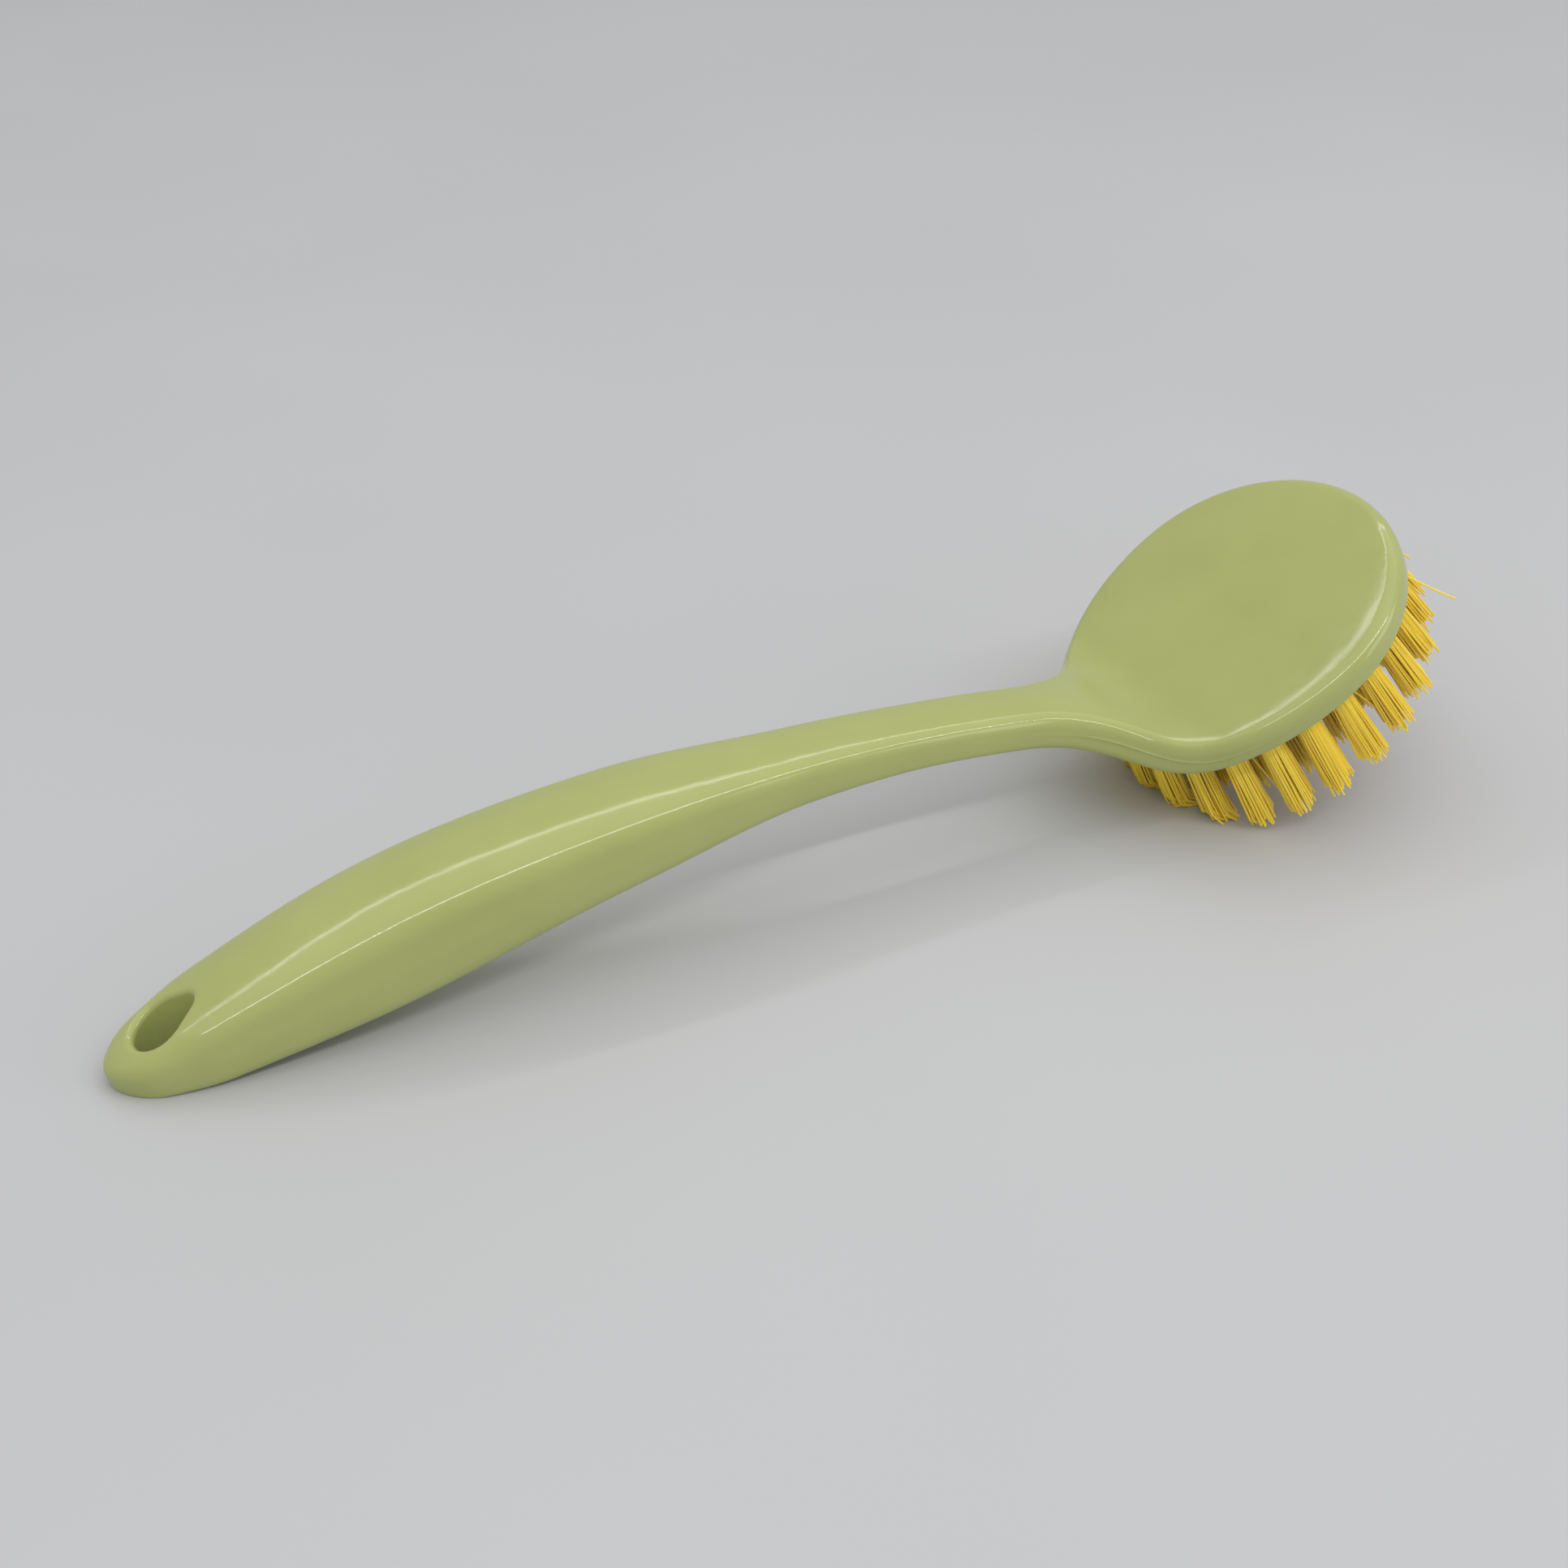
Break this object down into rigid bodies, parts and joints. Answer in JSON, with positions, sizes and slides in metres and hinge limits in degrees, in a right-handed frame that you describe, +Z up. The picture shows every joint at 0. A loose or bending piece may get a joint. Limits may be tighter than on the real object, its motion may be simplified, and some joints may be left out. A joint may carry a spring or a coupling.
{
  "type": "dish brush",
  "caption": "Dish brush with a curved tapering handle, a teardrop hanging hole, a slim neck and a round tilted head set with rings of flared bristle tufts.",
  "frame": {"origin": "on the table, under the middle of the box round the brush as it lies", "axes": "+X from the handle's end to the toe of the head, +Z up from the table, Y across the brush, which is symmetric about the XZ plane"},
  "size_m": [0.2788, 0.0702, 0.0575],
  "materials": {
    "handle_plastic": "glossy moulded plastic, pale green",
    "bristles": "yellow nylon filaments",
    "anchor_steel": "plain flat wire"
  },
  "bodies": {
    "root": {"handle_body": "handle_plastic", "tuft_outer_01": "bristles", "tuft_outer_02": "bristles", "tuft_outer_03": "bristles", "tuft_outer_04": "bristles", "tuft_outer_05": "bristles", "tuft_outer_06": "bristles", "tuft_outer_07": "bristles", "tuft_outer_08": "bristles", "tuft_outer_09": "bristles", "tuft_outer_10": "bristles", "tuft_outer_11": "bristles", "tuft_outer_12": "bristles", "tuft_outer_13": "bristles", "tuft_outer_14": "bristles", "tuft_outer_15": "bristles", "tuft_outer_16": "bristles", "tuft_outer_17": "bristles", "tuft_outer_18": "bristles", "tuft_outer_19": "bristles", "tuft_outer_20": "bristles", "tuft_outer_21": "bristles", "tuft_outer_22": "bristles", "tuft_outer_23": "bristles", "tuft_outer_24": "bristles", "tuft_middle_01": "bristles", "tuft_middle_02": "bristles", "tuft_middle_03": "bristles", "tuft_middle_04": "bristles", "tuft_middle_05": "bristles", "tuft_middle_06": "bristles", "tuft_middle_07": "bristles", "tuft_middle_08": "bristles", "tuft_middle_09": "bristles", "tuft_middle_10": "bristles", "tuft_middle_11": "bristles", "tuft_middle_12": "bristles", "tuft_middle_13": "bristles", "tuft_middle_14": "bristles", "tuft_middle_15": "bristles", "tuft_middle_16": "bristles", "tuft_inner_01": "bristles", "tuft_inner_02": "bristles", "tuft_inner_03": "bristles", "tuft_inner_04": "bristles", "tuft_inner_05": "bristles", "tuft_inner_06": "bristles", "tuft_inner_07": "bristles", "tuft_inner_08": "bristles", "tuft_inner_09": "bristles", "tuft_inner_10": "bristles", "tuft_core_01": "bristles", "tuft_core_02": "bristles", "tuft_core_03": "bristles", "tuft_core_04": "bristles", "tuft_anchors": "anchor_steel"}
  },
  "joints": []
}
